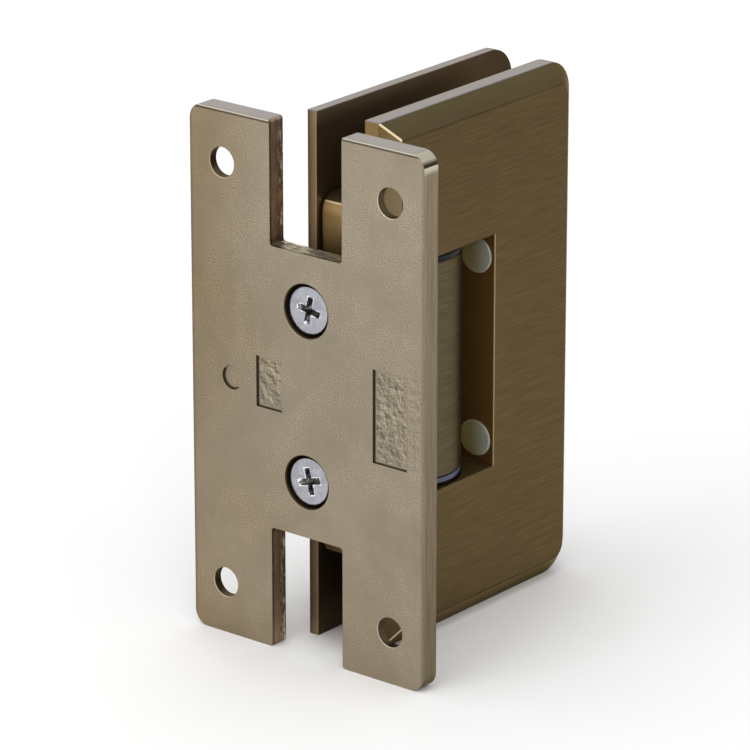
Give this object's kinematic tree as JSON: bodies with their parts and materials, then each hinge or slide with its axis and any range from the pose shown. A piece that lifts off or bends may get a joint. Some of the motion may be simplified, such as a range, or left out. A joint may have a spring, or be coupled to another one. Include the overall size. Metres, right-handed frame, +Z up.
{
  "type": "shower door hinge",
  "caption": "Wall-mounted shower door hinge: H-shaped wall plate with a pivot barrel, and two bevelled leaves that clamp the edge of a glass door and swing about the barrel.",
  "frame": {"origin": "centre of the wall plate's back face, against the wall", "axes": "+X out of the wall towards the door, +Y across the wall plate through the glass thickness, +Z up along the pivot axis"},
  "size_m": [0.0587, 0.0474, 0.089],
  "materials": {
    "satin_bronze_plate": "satin nickel over brass, rubbed",
    "satin_bronze": "brushed along the leaf",
    "zinc_screw": "bright zinc",
    "bush_brass": "turned",
    "pin_steel": "ground",
    "washer_nylon": "translucent",
    "plunger_nylon": "natural milky nylon",
    "spring_steel": "drawn wire"
  },
  "bodies": {
    "wall_side": {"wall_plate": "satin_bronze_plate", "pivot_barrel": "satin_bronze", "pivot_screw_upper": "zinc_screw", "pivot_screw_lower": "zinc_screw", "barrel_bush_upper": "bush_brass", "barrel_bush_lower": "bush_brass"},
    "door_side": {"hinge_body": "satin_bronze", "cover_plate": "satin_bronze", "cover_screw_upper_near": "zinc_screw", "cover_screw_upper_far": "zinc_screw", "cover_screw_lower_near": "zinc_screw", "cover_screw_lower_far": "zinc_screw", "hinge_pin": "pin_steel", "pin_plug_screw": "pin_steel", "washer_upper": "washer_nylon", "washer_lower": "washer_nylon", "plunger_spring_upper": "spring_steel", "plunger_spring_lower": "spring_steel"},
    "plunger_upper": {"plunger_upper": "plunger_nylon"},
    "plunger_lower": {"plunger_lower": "plunger_nylon"}
  },
  "joints": [
    {"name": "door_swing", "type": "hinge", "parent": "wall_side", "child": "door_side", "pos_m": [0.0256, 0, 0], "axis": [0, 0, 1], "range_deg": [-90, 90]},
    {"name": "plunger_upper_travel", "type": "slide", "parent": "door_side", "child": "plunger_upper", "axis": [1, 0, 0], "range_m": [0, 0.0015], "stiffness_N_per_m": 1000, "springref_m": -0.002, "deforming": ["plunger_spring_upper"]},
    {"name": "plunger_lower_travel", "type": "slide", "parent": "door_side", "child": "plunger_lower", "axis": [1, 0, 0], "range_m": [0, 0.0015], "stiffness_N_per_m": 1000, "springref_m": -0.002, "deforming": ["plunger_spring_lower"]}
  ]
}
